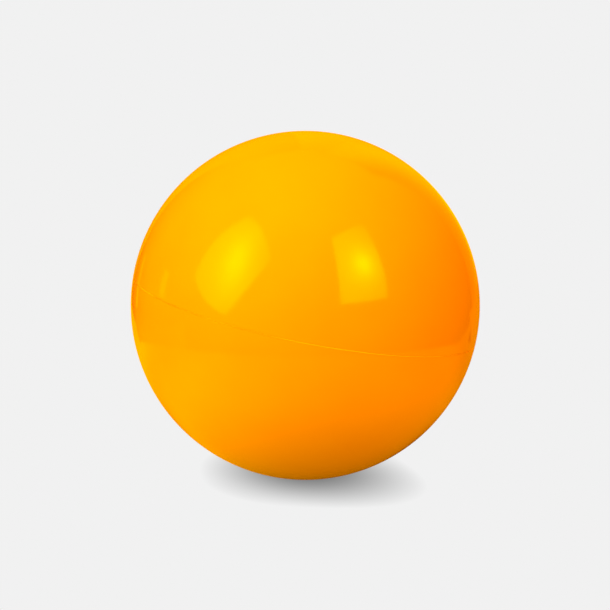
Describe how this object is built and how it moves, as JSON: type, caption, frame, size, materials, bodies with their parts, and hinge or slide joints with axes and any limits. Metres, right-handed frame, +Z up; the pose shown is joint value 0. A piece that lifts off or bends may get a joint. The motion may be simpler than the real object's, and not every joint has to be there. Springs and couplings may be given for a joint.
{
  "type": "table tennis ball",
  "caption": "Hollow thin-walled glossy orange plastic sphere for table tennis: moulded half shells joined round the middle by a cemented lap seam.",
  "frame": {"origin": "centre of the ball", "axes": "+Z is up as the ball lies at rest on a level surface and -Y is towards the side it is looked at from; the polar axis, square to the seam, leans 11.2 degrees from +Z towards +X, so the seam dips on the +X side"},
  "size_m": [0.04, 0.04, 0.04],
  "materials": {
    "shell": "gloss",
    "cement": "gloss"
  },
  "bodies": {
    "root": {"upper_half_shell": "shell", "lower_half_shell": "shell", "seam_cement": "cement"}
  },
  "joints": []
}
